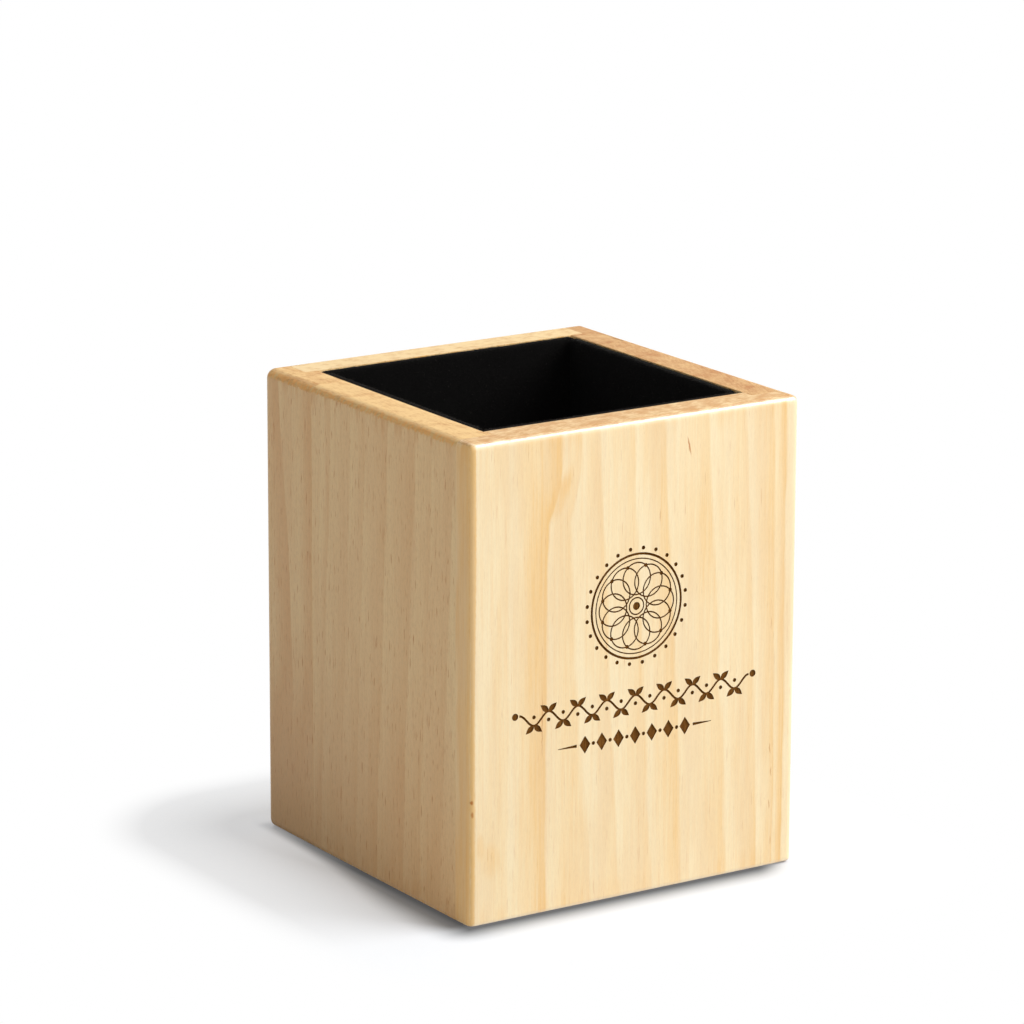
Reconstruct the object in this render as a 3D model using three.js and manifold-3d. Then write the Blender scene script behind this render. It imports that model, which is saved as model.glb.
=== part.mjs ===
// A square wooden pen cup in millimetres, +Z up. The origin is under the middle of the cup, on the
// surface that it stands on, and the front wall faces -Y.
//
// Four solid walls are glued up around a bottom board. The front board laps over the front ends of
// both side walls, and the back board and the bottom board lie in rabbets of the same depth. Each
// side wall is edge-glued from two staves. The box is rounded over after the glue-up, lined with
// felt on every inner face, and stands on a felt foot that is let into its underside.

import * as THREE from "three";
import { RoundedBoxGeometry } from "three/addons/geometries/RoundedBoxGeometry.js";
import { mergeVertices } from "three/addons/utils/BufferGeometryUtils.js";
import Module from "manifold-3d";

const wasm = await Module();
wasm.setup();

// Wooden box, outside
const boxWidth = 80;
const boxDepth = 80;
const boxHeight = 100;
const edgeRadius = 2.1;
const crispEdgeRadius = 1.3;
const edgeSegments = 5;

// Boards
const wallThickness = 8.3;
const rabbetDepth = 3;
const rearStaveWidth = 19.3;
const innerEdgeBreak = 0.3;
const bottomThickness = 6;

// Felt
const liningThickness = 1.8;
const liningBelowRim = 0.2;
const liningGap = 0.2;
const glueFilm = 0.1;
const footThickness = 1.2;
const footRecess = 1;
const footGap = 0.3;

// How far a cutter runs past the wood that it cuts
const overrun = 5;

// Places that follow from those sizes, in the box's frame: z is 0 at the walls' lower ends
const outerX = boxWidth / 2;
const outerY = boxDepth / 2;
const innerX = outerX - wallThickness;
const innerY = outerY - wallThickness;
const rabbetX = innerX + rabbetDepth;
const rabbetY = innerY + rabbetDepth;
const staveSeamY = outerY - rearStaveWidth;
const bottomTop = footRecess + bottomThickness;
const liningTop = boxHeight - liningBelowRim;
const footProud = footThickness + glueFilm - footRecess;

const wood = new THREE.MeshStandardMaterial({ color: 0xe6c394, roughness: 0.45, metalness: 0 });
const sideWood = new THREE.MeshStandardMaterial({ color: 0xdcb686, roughness: 0.45, metalness: 0 });
const felt = new THREE.MeshStandardMaterial({ color: 0x0d0b0a, roughness: 0.95, metalness: 0 });

// A closed three.js geometry as a solid that can be joined and cut
function solidOf(geometry) {
  geometry.deleteAttribute("normal");
  geometry.deleteAttribute("uv");
  const merged = mergeVertices(geometry, 1e-4);
  const vertProperties = merged.attributes.position.array;
  const triVerts = new Uint32Array(merged.index.array);
  return new wasm.Manifold(new wasm.Mesh({ numProp: 3, vertProperties, triVerts }));
}

// A block between two corners. It grows from a unit cube, so blocks that share a plane meet exactly.
function block([x0, y0, z0], [x1, y1, z1]) {
  const size = new THREE.Vector3(x1 - x0, y1 - y0, z1 - z0);
  const middle = new THREE.Vector3((x0 + x1) / 2, (y0 + y1) / 2, (z0 + z1) / 2);
  const placed = new THREE.Matrix4().compose(middle, new THREE.Quaternion(), size);
  return solidOf(new THREE.BoxGeometry(1, 1, 1).applyMatrix4(placed));
}

// A box with rounded edges that fills the cup's outside and runs past it at the front and below
function roundedBox(radius, past) {
  const depth = boxDepth + past;
  const height = boxHeight + past;
  const rounded = new RoundedBoxGeometry(boxWidth, depth, height, edgeSegments, radius);
  return solidOf(rounded.translate(0, outerY - depth / 2, boxHeight - height / 2));
}

// The whole box as one solid: what the boards add up to before the inside is taken out. Every edge
// is rounded over, and the edges of the front face and of the underside are left crisper.
function roundedBlank() {
  return roundedBox(edgeRadius, overrun).intersect(roundedBox(crispEdgeRadius, 0));
}

// The cutter that breaks the inner edges of the rim: a square frustum, wider at the top
function rimBreaker() {
  const drop = innerEdgeBreak;
  const rise = innerEdgeBreak;
  const lower = new THREE.Vector2(innerX, innerY);
  const upper = new THREE.Vector2(innerX + drop + rise, innerY + drop + rise);
  const frustum = new THREE.CylinderGeometry(Math.SQRT2, Math.SQRT2, drop + rise, 4, 1);
  frustum.rotateX(Math.PI / 2).rotateZ(Math.PI / 4);
  const position = frustum.attributes.position;
  for (let i = 0; i < position.count; i += 1) {
    const half = position.getZ(i) > 0 ? upper : lower;
    position.setX(i, position.getX(i) * half.x);
    position.setY(i, position.getY(i) * half.y);
  }
  return solidOf(frustum.translate(0, 0, boxHeight + (rise - drop) / 2));
}

// One mesh from a finished solid
function meshOf(name, solid, material) {
  const { vertProperties, triVerts } = solid.getMesh();
  const geometry = new THREE.BufferGeometry();
  geometry.setAttribute("position", new THREE.BufferAttribute(vertProperties, 3));
  geometry.setIndex(new THREE.BufferAttribute(triVerts, 1));
  geometry.computeVertexNormals();
  const mesh = new THREE.Mesh(geometry, material);
  mesh.name = name;
  return mesh;
}

const blank = roundedBlank();
const rimCutter = rimBreaker();
const bottomRecess = block([-rabbetX, -rabbetY, -overrun], [rabbetX, rabbetY, bottomTop]);

// A wall board: its stock, cut to the rounded blank, less the bottom's rabbet and the broken rim
function wallBoard(name, stock, material) {
  const shaped = blank.intersect(stock).subtract(bottomRecess).subtract(rimCutter);
  return meshOf(name, shaped, material);
}

// The front board spans the full width and laps over the side walls, which seat in its two rabbets.
function frontBoard() {
  const low = -overrun;
  const high = boxHeight + overrun;
  const reachX = outerX + overrun;
  const reachY = outerY + overrun;
  const full = block([-reachX, -reachY, low], [reachX, -rabbetY, high]);
  const tongue = block([-innerX, -reachY, low], [innerX, -innerY, high]);
  return wallBoard("front_board", full.add(tongue), wood);
}

// The back board lies in a rabbet in the rear end of each side wall.
function backBoard() {
  const stock = block([-rabbetX, innerY, -overrun], [rabbetX, outerY + overrun, boxHeight + overrun]);
  return wallBoard("back_board", stock, wood);
}

// A side wall in its two staves. side is -1 on the left and +1 on the right.
function sideWall(sideName, side) {
  const low = -overrun;
  const high = boxHeight + overrun;
  const slab = (fromX, toX, fromY, toY) =>
    block(
      [Math.min(side * fromX, side * toX), fromY, low],
      [Math.max(side * fromX, side * toX), toY, high],
    );
  const reachX = outerX + overrun;
  const frontStave = slab(innerX, reachX, -rabbetY, staveSeamY);
  const rearStave = slab(innerX, reachX, staveSeamY, innerY).add(
    slab(rabbetX, reachX, staveSeamY, outerY + overrun),
  );
  return [
    wallBoard(sideName + "_front_stave", frontStave, sideWood),
    wallBoard(sideName + "_rear_stave", rearStave, sideWood),
  ];
}

// The bottom board fills the rabbet around the walls' lower inside edge, above the foot's recess.
function bottomBoard() {
  const board = block([-rabbetX, -rabbetY, footRecess], [rabbetX, rabbetY, bottomTop]);
  return meshOf("bottom_board", board, wood);
}

// A flat piece of felt: its size along each axis, and the place of its middle
function feltSheet(name, size, middle) {
  const sheet = new THREE.Mesh(new THREE.BoxGeometry(...size), felt);
  sheet.name = name;
  sheet.position.set(...middle);
  return sheet;
}

// The lining: front and back sheets across the full width, side sheets between them, and a floor
// sheet that is laid last, inside all four
function lining() {
  const group = new THREE.Group();
  const fullX = 2 * (innerX - glueFilm);
  const fullY = 2 * (innerY - glueFilm);
  const cover = liningThickness + liningGap;

  const sheetHeight = liningTop - bottomTop - liningGap;
  const sheetZ = liningTop - sheetHeight / 2;
  const sheetY = innerY - glueFilm - liningThickness / 2;
  const across = [fullX, liningThickness, sheetHeight];
  group.add(feltSheet("front_lining", across, [0, -sheetY, sheetZ]));
  group.add(feltSheet("back_lining", across, [0, sheetY, sheetZ]));

  const sheetX = innerX - glueFilm - liningThickness / 2;
  const between = [liningThickness, fullY - 2 * cover, sheetHeight];
  group.add(feltSheet("left_lining", between, [-sheetX, 0, sheetZ]));
  group.add(feltSheet("right_lining", between, [sheetX, 0, sheetZ]));

  const floorZ = bottomTop + glueFilm + liningThickness / 2;
  const floor = [fullX - 2 * cover, fullY - 2 * cover, liningThickness];
  group.add(feltSheet("floor_lining", floor, [0, 0, floorZ]));
  return group;
}

// The foot: felt under the bottom board, inside the rabbet's walls, a little proud of the wood
function footFelt() {
  const size = [2 * (rabbetX - footGap), 2 * (rabbetY - footGap), footThickness];
  return feltSheet("foot_felt", size, [0, 0, footRecess - glueFilm - footThickness / 2]);
}

const box = new THREE.Group();
box.position.z = footProud;
box.add(frontBoard(), backBoard(), ...sideWall("left", -1), ...sideWall("right", 1));
box.add(bottomBoard(), lining(), footFelt());

const cup = new THREE.Group();
cup.add(box);

export default cup;
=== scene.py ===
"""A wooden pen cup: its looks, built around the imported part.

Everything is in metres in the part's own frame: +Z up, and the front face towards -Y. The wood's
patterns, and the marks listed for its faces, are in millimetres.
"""

import bisect
import math
import random

import bmesh
import bpy
from mathutils import Matrix, Vector, geometry, noise

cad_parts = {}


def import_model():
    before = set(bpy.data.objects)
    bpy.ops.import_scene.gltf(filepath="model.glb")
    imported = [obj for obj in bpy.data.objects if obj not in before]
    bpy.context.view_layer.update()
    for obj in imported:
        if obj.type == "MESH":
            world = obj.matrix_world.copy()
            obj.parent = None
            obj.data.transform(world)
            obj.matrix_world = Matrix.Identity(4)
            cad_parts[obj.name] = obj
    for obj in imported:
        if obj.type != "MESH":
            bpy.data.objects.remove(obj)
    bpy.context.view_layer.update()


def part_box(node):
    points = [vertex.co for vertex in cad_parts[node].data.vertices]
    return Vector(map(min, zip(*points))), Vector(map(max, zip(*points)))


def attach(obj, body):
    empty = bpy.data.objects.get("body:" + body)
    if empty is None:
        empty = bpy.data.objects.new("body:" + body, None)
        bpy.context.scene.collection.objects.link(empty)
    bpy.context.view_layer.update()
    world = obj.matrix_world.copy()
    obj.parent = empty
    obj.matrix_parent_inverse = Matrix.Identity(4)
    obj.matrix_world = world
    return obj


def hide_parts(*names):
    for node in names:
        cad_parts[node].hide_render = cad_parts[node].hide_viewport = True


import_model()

# The felt's surfaces come out the same in each run
noise.seed_set(1)

MM = 0.001
BODY = "root"

# Camera, fitted to the photograph's box edges
CAMERA_YAW = math.radians(-33.171)
CAMERA_PITCH = math.radians(14.6066)
CAMERA_ROLL = math.radians(0.2193)
CAMERA_DISTANCE = 1071.56 * MM
CAMERA_RIGHT = -3.34 * MM
CAMERA_UP = 21.34 * MM
CAMERA_LENS_MM = 180.3

# Finish of the wooden box. A rounding of power 2 is a quarter circle, and a higher power is crisper.
# The lower edges have their own powers, at the front and at the back.
EDGE_RADIUS = 2.1 * MM
EDGE_SEGMENTS = 10
SOFT_EDGE_POWER = 2.0
CRISP_EDGE_POWER = 3.4
CRISP_FROM_FRONT = 16 * MM
LOWER_EDGE_POWERS = (8.0, 3.0)
RIM_BREAK = 0.35 * MM
SEAM_WIDTH = 0.12 * MM
SEAM_DEPTH = 0.05 * MM
FLAT_ANGLE = math.radians(0.2)
SMOOTH_ANGLE = math.radians(30)

# Lamps: the way to each from the point that it is aimed at, its distance, its sides and its watts
LAMPS_AIM = Vector((0, 0, 50 * MM))
LAMPS = {
    "key": ((0.65, -0.42, 0.635), 1.15, (0.75, 0.85), 17.8),
    "side_fill": ((-0.65, -0.62, 0.45), 0.75, (0.45, 0.4), 0.95),
    "rear_fill": ((0.1, 0.8, 1.2), 1.3, (0.8, 0.5), 3.2),
}
WORLD_FILL = 0.235
WHITE = (1, 1, 1, 1)

# Floor: its half width, its colour under the lamps, and what it throws back at the cup, with painted
# shade that darkens that bounce beside the rear of the left face
FLOOR_HALF = 3.0
PAPER = (0.82, 0.85, 0.895)
BOUNCE = 0.6
SHADED = 0.9
SHADED_REACH = 60 * MM
SHADED_PLACE = (-30 * MM, 30 * MM)

# How the floor's shadow gives way to plain white: away from the cup, in a thin strip along its
# edges, towards its back, and past its right end in the picture
SHADOW_FADE = 13 * MM
SHADOW_END = (8 * MM, 38 * MM)
EDGE_SHARE = (0.4, 1.0)
EDGE_REACH = 4 * MM
FRONT_STRIP = (-36 * MM, -39.5 * MM)
LIFT_SHARE = (0.24, 0.4)
LIFT_REACH = 3 * MM
LIFT_PLACE = (-30 * MM, 35 * MM)
ENDING_REAR = (0.0, 50 * MM)
ENDING_RIGHT = (48 * MM, 56 * MM)

# The painted contact shadow, a dark line where the cup meets the floor: how far it reaches, and how
# much narrower it is beside the cup, from the front to the back
CONTACT_SHADE_REACH = (-3 * MM, 8.5 * MM)
CONTACT_SHADE_NARROWER = (0.8, 3.0)
NARROWER_PLACE = (-20 * MM, 40 * MM)

# Engraving
ENGRAVED_DEPTH = 0.25 * MM
MEDALLION_HEIGHT = 61.25 * MM
VINE_HEIGHT = 41.25 * MM
ROW_HEIGHT = 34.0 * MM
DOT_RADIUS = 0.42 * MM

# Felt and its loose fibres
UP = Vector((0, 0, 1))
NAP_LENGTH = 0.45 * MM
NAP_RADIUS = 0.022 * MM
NAP_ROOTED = 0.03 * MM
RIM_NAP = 2600
FACE_NAP = 5000
FELT_UNEVEN = 0.12 * MM
FELT_WAVE = 4 * MM
FELT_RIPPLE = 1.3 * MM
FELT_CELL = 1.6 * MM
FELT_LAYERS = 3

# Points less than MERGED apart become one, and places less than SAME apart count as one
MERGED = 1e-7
SAME = 2e-7
PLACE_DIGITS = 7


def low(node):
    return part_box(node)[0]


def high(node):
    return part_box(node)[1]


# Places taken from the frame
BOTTOM = low("front_board").z
TOP = high("front_board").z
OUTER = Vector((high("front_board").x, high("back_board").y))
INNER = Vector((-high("left_front_stave").x, -high("front_board").y))
RABBET = Vector((high("back_board").x, -low("left_front_stave").y))
STAVE_SEAM = low("left_rear_stave").y
BOTTOM_BOARD_TOP = high("bottom_board").z
HEIGHT_MM = (TOP - BOTTOM) / MM

# How far the cut for the bottom board runs past the wood
OVERRUN = 1.0


# Meshes

def new_object(name, data):
    obj = bpy.data.objects.new(name, data)
    bpy.context.scene.collection.objects.link(obj)
    return obj


def object_of(name, shape):
    """A new object with the shape of a bmesh, which is freed."""
    mesh = bpy.data.meshes.new(name)
    shape.to_mesh(mesh)
    shape.free()
    return new_object(name, mesh)


def apply_modifiers(obj):
    graph = bpy.context.evaluated_depsgraph_get()
    made = bpy.data.meshes.new_from_object(obj.evaluated_get(graph))
    obj.modifiers.clear()
    old = obj.data
    obj.data = made
    bpy.data.meshes.remove(old)


def dress(obj, node, material):
    """Gives a finished piece its material, hangs it on the body and hides the part that it stands for.
    """
    obj.data.materials.append(material)
    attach(obj, BODY)
    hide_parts(node)


def in_boxes(point, boxes):
    return any(all(lo[i] < point[i] < hi[i] for i in range(3)) for lo, hi in boxes)


def places_of(boxes, axis):
    return {round(corner[axis], PLACE_DIGITS) for box in boxes for corner in box}


def cells_of(keep, cut, extra, axis):
    """The stretches into which the solid is divided along an axis, from its lowest end on."""
    ends = places_of(keep, axis)
    more = places_of(cut, axis) | {round(place, PLACE_DIGITS) for place in extra}
    stops = sorted(ends | {place for place in more if min(ends) < place < max(ends)})
    return list(zip(stops, stops[1:]))


def filled_cells(cells, keep, cut):
    filled = set()
    for i, x in enumerate(cells[0]):
        for j, y in enumerate(cells[1]):
            for k, z in enumerate(cells[2]):
                point = (sum(x) / 2, sum(y) / 2, sum(z) / 2)
                if in_boxes(point, keep) and not in_boxes(point, cut):
                    filled.add((i, j, k))
    return filled


def add_side(shape, cells, cell, axis, side):
    """The face of a cell that looks down the axis, or up it where side is 1."""
    a, b = (axis + 1) % 3, (axis + 2) % 3
    corners = []
    for u, v in ((0, 0), (1, 0), (1, 1), (0, 1)):
        at = [0, 0, 0]
        at[axis] = cells[axis][cell[axis]][side]
        at[a] = cells[a][cell[a]][u]
        at[b] = cells[b][cell[b]][v]
        corners.append(shape.verts.new(at))
    if not side:
        corners.reverse()
    shape.faces.new(corners)


def solid_of_boxes(keep, cut, extra):
    """The closed surface of the boxes in keep less the boxes in cut, as a bmesh.

    extra holds more places along each axis at which the surface is divided.
    """
    cells = [cells_of(keep, cut, extra[axis], axis) for axis in range(3)]
    filled = filled_cells(cells, keep, cut)
    made = bmesh.new()
    for cell in filled:
        for axis in range(3):
            for side in (0, 1):
                beyond = list(cell)
                beyond[axis] += 2 * side - 1
                if tuple(beyond) not in filled:
                    add_side(made, cells, cell, axis, side)
    bmesh.ops.remove_doubles(made, verts=made.verts, dist=MERGED)
    return made


# The wooden boards

def near(a, b):
    return abs(a - b) < SAME


def board_stops(seams):
    """Where the boards' surfaces are divided: at the roundings, the broken edges and the seams.

    A rounded edge is divided so that its facets turn evenly.
    """
    steps = range(EDGE_SEGMENTS + 1)
    arc = [EDGE_RADIUS * math.tan(math.pi / 4 * i / EDGE_SEGMENTS) for i in steps]
    xs = [side * (OUTER.x - EDGE_RADIUS + t) for side in (-1, 1) for t in arc]
    ys = [side * (OUTER.y - EDGE_RADIUS + t) for side in (-1, 1) for t in arc]
    zs = [TOP - EDGE_RADIUS + t for t in arc] + [BOTTOM + EDGE_RADIUS - t for t in arc]
    zs.append(TOP - RIM_BREAK)
    for side in (-1, 1):
        xs.append(side * (INNER.x + RIM_BREAK))
        ys.append(side * (INNER.y + RIM_BREAK))
        xs += [seam + side * SEAM_WIDTH for seam in seams[0]]
        ys += [seam + side * SEAM_WIDTH for seam in seams[1]]
    return xs, ys, zs


def clamp(value, limit):
    return max(-limit, min(limit, value))


def between(share, first, second):
    share = min(1.0, max(0.0, share))
    return first + (second - first) * share


def rounded_over(p):
    """Carries a point of the square box to the rounded one, crisper at its front and underside."""
    core = Vector((clamp(p.x, OUTER.x - EDGE_RADIUS), clamp(p.y, OUTER.y - EDGE_RADIUS),
                   max(BOTTOM + EDGE_RADIUS, min(p.z, TOP - EDGE_RADIUS))))
    out = p - core
    if out.length < 1e-9:
        return p
    from_front = p.y + OUTER.y
    upright = between(from_front / CRISP_FROM_FRONT, CRISP_EDGE_POWER, SOFT_EDGE_POWER)
    lower = between(from_front / (2 * OUTER.y), *LOWER_EDGE_POWERS)
    level = lower if out.z < 0 else upright
    around = (abs(out.x) ** upright + abs(out.y) ** upright) ** (1 / upright)
    length = (around ** level + abs(out.z) ** level) ** (1 / level)
    return core + out * (max(abs(c) for c in out) / length)


def face_role(face):
    """outside for what shows on the finished box, inside for its inner walls, or joint."""
    n, c = face.normal, face.calc_center_median()
    if near(c.z, TOP) or near(c.z, BOTTOM):
        return "outside"
    for axis in (0, 1):
        if near(abs(c[axis]), OUTER[axis]):
            return "outside"
        faces_in = n[axis] * c[axis] < 0 and abs(c[1 - axis]) < INNER[1 - axis]
        if near(abs(c[axis]), INNER[axis]) and faces_in:
            return "inside"
    return "joint"


def ease(v, roles):
    """Breaks the rim's inner edges and sinks the seams a little."""
    share = 1 - math.sqrt(0.5)
    shown = [f.normal for f in v.link_faces if roles[f.index] == "outside"]
    walls = [f.normal for f in v.link_faces if roles[f.index] == "inside"]
    on_seam = any(roles[f.index] == "joint" for f in v.link_faces)
    moved = v.co.copy()
    if near(v.co.z, TOP) and walls:
        moved.z -= RIM_BREAK * share
        moved -= max(walls, key=lambda n: n.length) * RIM_BREAK * share
    elif on_seam:
        for axis in range(3):
            for way in (-1, 1):
                if any(n[axis] * way > 0.5 for n in shown):
                    moved[axis] -= way * SEAM_DEPTH
    return moved


def board(name, keep, cut, material, seams=((), ())):
    shape = solid_of_boxes(keep, cut, board_stops(seams))
    bmesh.ops.recalc_face_normals(shape, faces=shape.faces)
    shape.faces.index_update()
    roles = [face_role(f) for f in shape.faces]
    places = [rounded_over(ease(v, roles)) for v in shape.verts]
    for v, place in zip(shape.verts, places):
        v.co = place
    bmesh.ops.dissolve_limit(
        shape, angle_limit=FLAT_ANGLE, verts=shape.verts, edges=shape.edges
    )
    obj = object_of(name + "_wood", shape)
    dress(obj, name, material)
    return obj


def smooth(obj):
    """Smooth shading that keeps flat faces flat."""
    for polygon in obj.data.polygons:
        polygon.use_smooth = True
    obj.data.set_sharp_from_angle(angle=SMOOTH_ANGLE)
    weighted = obj.modifiers.new("flat faces stay flat", "WEIGHTED_NORMAL")
    weighted.keep_sharp = True
    weighted.weight = 100
    apply_modifiers(obj)


def side_slab(side, near_x, far_x, near_y, far_y):
    """A full-height box in a side wall. side is -1 on the left and +1 on the right."""
    xs = sorted((side * near_x, side * far_x))
    return ((xs[0], near_y, BOTTOM), (xs[1], far_y, TOP))


def wooden_box(materials):
    """Every board, by the name of the part that it replaces."""
    bottom_cut = ((-RABBET.x, -RABBET.y, BOTTOM - OVERRUN), (RABBET.x, RABBET.y, BOTTOM_BOARD_TOP))
    front = ((-OUTER.x, -OUTER.y, BOTTOM), (OUTER.x, -RABBET.y, TOP))
    tongue = ((-INNER.x, -OUTER.y, BOTTOM), (INNER.x, -INNER.y, TOP))
    back = ((-RABBET.x, INNER.y, BOTTOM), (RABBET.x, OUTER.y, TOP))
    walls = {
        "front_board": ([front, tongue], "front_wood", ((-INNER.x, INNER.x), (-RABBET.y,))),
        "back_board": ([back], "front_wood", ((-RABBET.x, RABBET.x), ())),
    }
    for side_name, side in (("left", -1), ("right", 1)):
        seams = ((side * RABBET.x,), (-RABBET.y, STAVE_SEAM))
        front_stave = [side_slab(side, INNER.x, OUTER.x, -RABBET.y, STAVE_SEAM)]
        rear_stave = [
            side_slab(side, INNER.x, OUTER.x, STAVE_SEAM, INNER.y),
            side_slab(side, RABBET.x, OUTER.x, STAVE_SEAM, OUTER.y),
        ]
        walls[side_name + "_front_stave"] = (front_stave, "side_wood", seams)
        walls[side_name + "_rear_stave"] = (rear_stave, "side_wood", seams)
    made = {}
    for name, (keep, slot, seams) in walls.items():
        made[name] = board(name, keep, [bottom_cut], materials[name], seams)
    name = "bottom_board"
    made[name] = board(name, [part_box(name)], [], materials[name])
    return made


# The engraving, drawn on the front face in metres: x to the right, y up to the height in the frame

def ring_points(centre, radius, count, start=0.0):
    step = 2 * math.pi / count
    return [
        centre + radius * Vector((math.cos(start + i * step), math.sin(start + i * step)))
        for i in range(count)
    ]


def stroke(points, width, closed=False):
    """A line of that width through the points, as quads. width is a number or a list of them."""
    count = len(points)
    widths = width if isinstance(width, list) else [width] * count
    sides = []
    for i, point in enumerate(points):
        before = points[i - 1] if i or closed else point
        after = points[(i + 1) % count] if i + 1 < count or closed else point
        along = (after - before).normalized()
        across = Vector((-along.y, along.x)) * widths[i] / 2
        sides.append((point + across, point - across))
    quads = []
    for i in range(count if closed else count - 1):
        a, b = sides[i], sides[(i + 1) % count]
        quads.append([a[0], a[1], b[1], b[0]])
    return quads


def circle(centre, radius, width, count):
    return stroke(ring_points(centre, radius, count), width, closed=True)


def dot(centre, radius, count=20):
    return [ring_points(centre, radius, count)]


def leaf(base, angle, length, width, count=10):
    """A pointed leaf that grows from base at that angle, widest a little before its middle."""
    fullness = 0.8
    along = Vector((math.cos(angle), math.sin(angle)))
    across = Vector((-along.y, along.x))
    edge = []
    for i in range(count + 1):
        t = i / count
        bulge = width / 2 * math.sin(math.pi * t ** fullness)
        edge.append((base + along * length * t, across * bulge))
    right = [p - a for p, a in edge]
    left = [p + a for p, a in edge[1:-1]]
    return [right + left[::-1]]


def medallion(centre):
    """A round turned rosette: rings, a band of interlaced circles, and two rounds of dots."""
    lobes, lobes_at, lobe_radius = 12, 5.75 * MM, 3.35 * MM
    hub, eye, fine_line = 1.75 * MM, 0.85 * MM, 0.3 * MM
    shapes = []
    for radius, line in ((10.9 * MM, 0.5 * MM), (9.9 * MM, 0.26 * MM)):
        shapes += circle(centre, radius, line, 120)
    for at in ring_points(centre, lobes_at, lobes):
        shapes += circle(at, lobe_radius, fine_line, 48)
    for radius, count in ((8.55 * MM, lobes), (12.1 * MM, 2 * lobes)):
        for at in ring_points(centre, radius, count, math.pi / count):
            shapes += dot(at, DOT_RADIUS)
    return shapes + circle(centre, hub, fine_line, 40) + dot(centre, eye, 28)


def vine(height):
    """A running vine: a waved stem with two leaves and a berry at each turn, and ends in berries."""
    half_span, swing, turns, stem = 28.2 * MM, 1.25 * MM, 8, 0.46 * MM
    leaf_angle, leaf_length, leaf_width = math.radians(38), 2.5 * MM, 1.25 * MM
    berry_off, end_berry, end_berry_off = 1.75 * MM, 0.75 * MM, 1.0 * MM
    wave = math.pi * turns / half_span
    count = 24 * turns

    def at(x):
        return Vector((x, height + swing * math.cos(wave * x)))

    shapes = stroke([at(half_span * (2 * i / count - 1)) for i in range(count + 1)], stem)
    for i in range(-turns + 1, turns):
        up = -1 if i % 2 else 1
        crest = at(i * half_span / turns)
        for angle in (up * leaf_angle, math.pi - up * leaf_angle):
            shapes += leaf(crest, angle, leaf_length, leaf_width)
        shapes += dot(crest - Vector((0, up * berry_off)), DOT_RADIUS)
    for side in (-1, 1):
        shapes += dot(at(side * half_span) + Vector((side * end_berry_off, 0)), end_berry)
    return shapes


def lozenge_row(height):
    """A row of lozenges with dots between them, and a tapering line at each end."""
    pitch, each_side = 4.1 * MM, 3
    corners_mm, dot_radius = ((1.3, 0), (0, 1.9), (-1.3, 0), (0, -1.9)), 0.4 * MM
    gap, tail, steps = 2.0 * MM, 4.6 * MM, 8
    thick, tip = 0.5 * MM, 0.12 * MM
    shapes = []
    for i in range(-each_side, each_side + 1):
        centre = Vector((i * pitch, height))
        shapes.append([centre + Vector(corner) * MM for corner in corners_mm])
        if i < each_side:
            shapes += dot(centre + Vector((pitch / 2, 0)), dot_radius)
    start = each_side * pitch + gap
    for side in (-1, 1):
        points = [Vector((side * (start + tail * t / steps), height)) for t in range(steps + 1)]
        widths = [thick * (1 - t / steps) + tip for t in range(steps + 1)]
        shapes += stroke(points, widths)
    return shapes


def divided(outline, shapes):
    """A flat face divided along the shapes: its points, its faces, and which faces are cut out."""
    points = list(outline)
    faces = [list(range(len(outline)))]
    for polygon in shapes:
        faces.append(list(range(len(points), len(points) + len(polygon))))
        points += polygon
    made = geometry.delaunay_2d_cdt(points, [], faces, 0, 1e-8, True)
    flat_points, _, flat_faces, _, _, origin = made
    return flat_points, flat_faces, [any(i > 0 for i in inside) for inside in origin]


def engrave(obj, shapes, material):
    """Cuts the shapes into the board's front face: a flat floor and upright walls."""
    shape = bmesh.new()
    shape.from_mesh(obj.data)
    fronts = [f for f in shape.faces if f.normal.y < -0.999]
    front = max(fronts, key=lambda f: f.calc_area())
    y = front.calc_center_median().y
    outline = [Vector((v.co.x, v.co.z)) for v in front.verts]
    shape.faces.remove(front)
    flat_points, flat_faces, cut = divided(outline, shapes)
    top, floor = {}, {}

    def vertex(store, index, depth):
        if index not in store:
            p = flat_points[index]
            store[index] = shape.verts.new((p.x, y + depth, p.y))
        return store[index]

    sides = {}
    for face, is_cut in zip(flat_faces, cut):
        store, depth = (floor, ENGRAVED_DEPTH) if is_cut else (top, 0.0)
        new = shape.faces.new([vertex(store, i, depth) for i in face])
        new.normal_update()
        if new.normal.y > 0:
            new.normal_flip()
        new.material_index = 1 if is_cut else 0
        for a, b in zip(face, face[1:] + face[:1]):
            sides.setdefault(frozenset((a, b)), []).append((is_cut, a, b))
    for found in sides.values():
        if len(found) == 2 and found[0][0] != found[1][0]:
            _, a, b = found[0]
            wall = shape.faces.new([top[a], top[b], floor[b], floor[a]])
            wall.material_index = 1
    bmesh.ops.remove_doubles(shape, verts=shape.verts, dist=SAME)
    bmesh.ops.recalc_face_normals(shape, faces=shape.faces)
    shape.to_mesh(obj.data)
    shape.free()
    obj.data.materials.append(material)


# Felt

def cell_box(lo, size, counts):
    """The surface of a box, divided into that many cells along each axis, as a bmesh."""
    stops = [
        [lo[i] + size[i] * k / counts[i] for k in range(counts[i] + 1)] for i in range(3)
    ]
    shape = bmesh.new()
    grid = {}

    def vertex(i, j, k):
        if (i, j, k) not in grid:
            grid[i, j, k] = shape.verts.new((stops[0][i], stops[1][j], stops[2][k]))
        return grid[i, j, k]

    for axis in range(3):
        a, b = (axis + 1) % 3, (axis + 2) % 3
        for side in (0, counts[axis]):
            for u in range(counts[a]):
                for v in range(counts[b]):
                    corners = []
                    for du, dv in ((0, 0), (1, 0), (1, 1), (0, 1)):
                        at = [0, 0, 0]
                        at[axis], at[a], at[b] = side, u + du, v + dv
                        corners.append(vertex(*at))
                    if side == 0:
                        corners.reverse()
                    shape.faces.new(corners)
    return shape


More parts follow.
